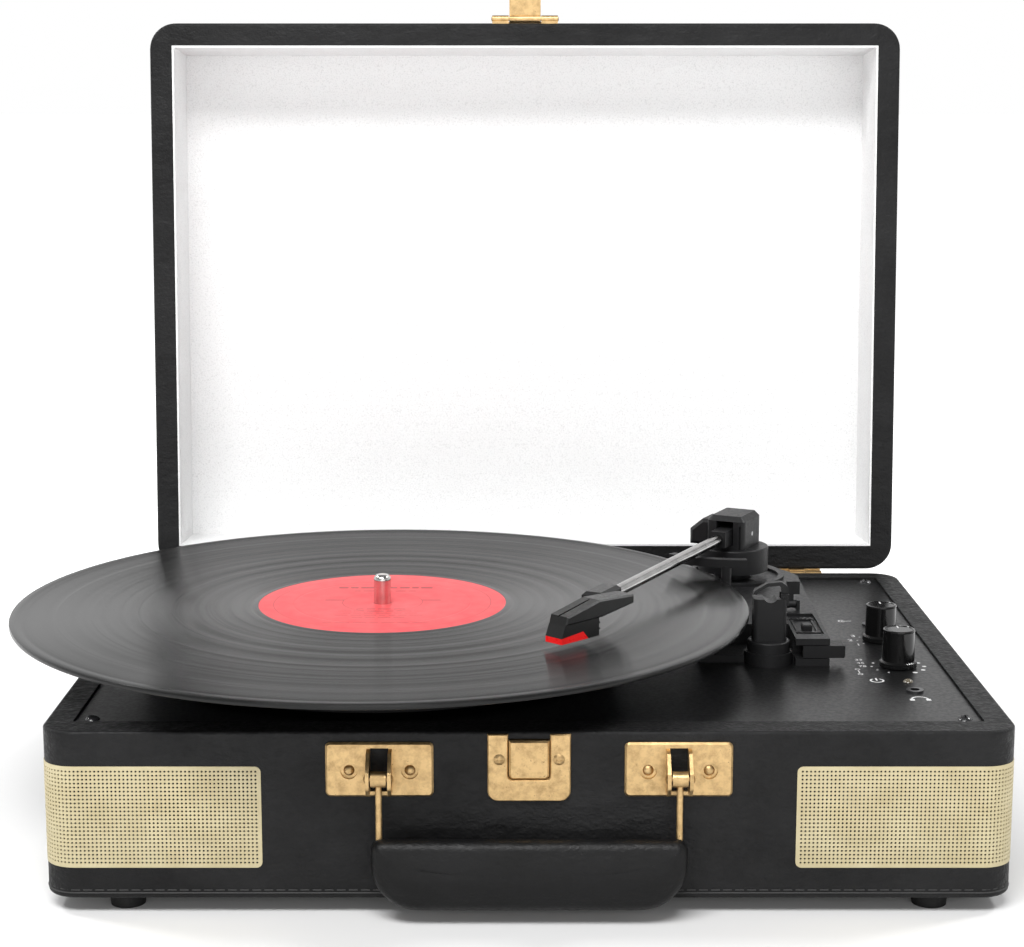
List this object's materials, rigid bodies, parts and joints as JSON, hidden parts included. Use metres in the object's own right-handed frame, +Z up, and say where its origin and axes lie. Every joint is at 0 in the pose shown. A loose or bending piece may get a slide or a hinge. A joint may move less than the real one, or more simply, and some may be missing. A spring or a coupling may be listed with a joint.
{
  "type": "suitcase record player",
  "caption": "Suitcase record player standing open: hinged lid, carrying handle, belt-driven platter with a record, pivoting tonearm on a rest, corner speakers and deck controls.",
  "frame": {"origin": "on the floor under the middle of the case", "axes": "+X to the player's right, +Y to the back where the lid is hinged, +Z up"},
  "size_m": [0.3882, 0.3639, 0.3419],
  "materials": {
    "leatherette": "satin, pebble grain",
    "grip_leather": "satin, stitched edge",
    "base_board": "matt",
    "deck_black": "satin",
    "foot_rubber": "matt",
    "plated_steel": "satin",
    "black_steel": "gloss",
    "cream_metal": "satin, perforated",
    "speaker_steel": "satin",
    "speaker_paper": "matt",
    "aged_brass": "aged",
    "lid_cloth": "matt",
    "spindle_metal": "polished",
    "bearing_metal": "satin",
    "platter_plastic": "satin",
    "mat_felt": "matt",
    "vinyl": "gloss, grooved",
    "label_paper": "matt",
    "motor_steel": "satin",
    "pulley_brass": "satin",
    "belt_rubber": "matt",
    "arm_plastic": "satin",
    "arm_silver": "satin",
    "head_plastic": "satin",
    "stylus_red": "gloss",
    "knob_plastic": "satin",
    "pot_metal": "satin",
    "lamp_lens": "gloss",
    "socket_metal": "satin",
    "socket_plastic": "satin",
    "board_green": "satin"
  },
  "bodies": {
    "case": {"case_shell": "leatherette", "case_floor": "base_board", "feet": "foot_rubber", "foot_screws": "plated_steel", "deck_plate": "deck_black", "deck_screws": "black_steel", "grille_left": "cream_metal", "grille_right": "cream_metal", "speaker_frames": "speaker_steel", "speaker_cones": "speaker_paper", "latch_plate": "aged_brass", "brass_screws": "aged_brass", "handle_brackets": "aged_brass", "handle_rivets": "aged_brass", "case_hinge_leaves": "aged_brass", "hinge_pins": "aged_brass", "spindle": "spindle_metal", "motor": "motor_steel", "drive_belt": "belt_rubber", "tonearm_base": "arm_plastic", "armrest_post": "arm_plastic", "control_pots": "pot_metal", "power_led": "lamp_lens", "audio_jacks": "socket_metal", "rear_plate": "deck_black", "phono_jacks": "socket_metal", "power_inlet": "socket_plastic", "circuit_board": "board_green"},
    "lid": {"lid_shell": "leatherette", "lid_lining": "lid_cloth", "lid_hinge_leaves": "aged_brass", "lid_hinge_screws": "aged_brass", "hasp_base": "aged_brass", "hasp_pin": "aged_brass"},
    "hasp": {"hasp_tongue": "aged_brass"},
    "handle": {"handle_bail": "aged_brass", "handle_grip": "grip_leather"},
    "latch": {"latch_button": "aged_brass"},
    "turntable": {"platter": "platter_plastic", "platter_bush": "bearing_metal", "slipmat": "mat_felt", "record": "vinyl", "record_label": "label_paper"},
    "pulley": {"motor_pulley": "pulley_brass"},
    "arm_pivot": {"pivot_drum": "arm_plastic", "tonearm_housing": "arm_plastic", "gimbal_pin": "plated_steel"},
    "arm": {"arm_carrier": "arm_plastic", "arm_tube": "arm_silver", "arm_end_block": "head_plastic", "headshell": "head_plastic", "cartridge": "head_plastic", "stylus": "stylus_red"},
    "rest_clip": {"armrest_clip": "arm_plastic"},
    "lifter": {"lift_bar": "arm_plastic"},
    "cue": {"cue_lever": "arm_plastic"},
    "auto_stop": {"auto_stop_switch": "arm_plastic"},
    "speed": {"speed_lever": "arm_plastic"},
    "volume": {"volume_knob": "knob_plastic"},
    "selector": {"function_knob": "knob_plastic"}
  },
  "joints": [
    {"name": "lid_hinge", "type": "hinge", "parent": "case", "child": "lid", "pos_m": [0, 0.1332, 0.0667], "axis": [1, 0, 0], "range_deg": [0, 28]},
    {"name": "hasp_hinge", "type": "hinge", "parent": "lid", "child": "hasp", "pos_m": [0, 0.1598, 0.33092], "axis": [1, 0, 0], "range_deg": [0, 90]},
    {"name": "handle_hinge", "type": "hinge", "parent": "case", "child": "handle", "pos_m": [0, -0.138, 0.054], "axis": [-1, 0, 0], "range_deg": [0, 110]},
    {"name": "latch_press", "type": "slide", "parent": "case", "child": "latch", "axis": [0, 1, 0], "range_m": [0, 0.0015], "stiffness_N_per_m": 600, "springref_m": -0.002},
    {"name": "platter_spin", "type": "hinge", "parent": "case", "child": "turntable", "pos_m": [-0.0597, -0.0116, 0.0702], "axis": [0, 0, 1], "continuous": true},
    {"name": "pulley_spin", "type": "hinge", "parent": "case", "child": "pulley", "pos_m": [-0.1191, 0.0478, 0.0715], "axis": [0, 0, 1], "continuous": true},
    {"name": "arm_swing", "type": "hinge", "parent": "case", "child": "arm_pivot", "pos_m": [0.0945, 0.078, 0.094], "axis": [0, 0, 1], "range_deg": [-14.5, 23]},
    {"name": "arm_lift", "type": "hinge", "parent": "arm_pivot", "child": "arm", "pos_m": [0.0945, 0.078, 0.1], "axis": [-0.8952, 0.4456, 0], "range_deg": [-0.55, 12]},
    {"name": "rest_clip_hinge", "type": "hinge", "parent": "case", "child": "rest_clip", "pos_m": [0.1041, -0.03, 0.0956], "axis": [0, 1, 0], "range_deg": [0, 100]},
    {"name": "lifter_slide", "type": "slide", "parent": "case", "child": "lifter", "axis": [0, 0, 1], "range_m": [-0.0018, 0.0011]},
    {"name": "cue_turn", "type": "hinge", "parent": "case", "child": "cue", "pos_m": [0.1125, 0.013, 0.0821], "axis": [1, 0, 0], "range_deg": [-17, 28]},
    {"name": "auto_stop_slide", "type": "slide", "parent": "case", "child": "auto_stop", "axis": [0, 1, 0], "range_m": [0, 0.012]},
    {"name": "speed_slide", "type": "slide", "parent": "case", "child": "speed", "axis": [1, 0, 0], "range_m": [-0.003, 0.003]},
    {"name": "volume_turn", "type": "hinge", "parent": "case", "child": "volume", "pos_m": [0.1495, -0.0372, 0.068], "axis": [0, 0, 1], "range_deg": [-150, 150]},
    {"name": "selector_turn", "type": "hinge", "parent": "case", "child": "selector", "pos_m": [0.1495, 0.0046, 0.068], "axis": [0, 0, 1], "range_deg": [-45, 45]}
  ],
  "couplings": [
    {"joint": "pulley_spin", "follows": "platter_spin", "ratio": 16},
    {"joint": "cue_turn", "follows": "lifter_slide", "rad_per_m": -261.7}
  ]
}
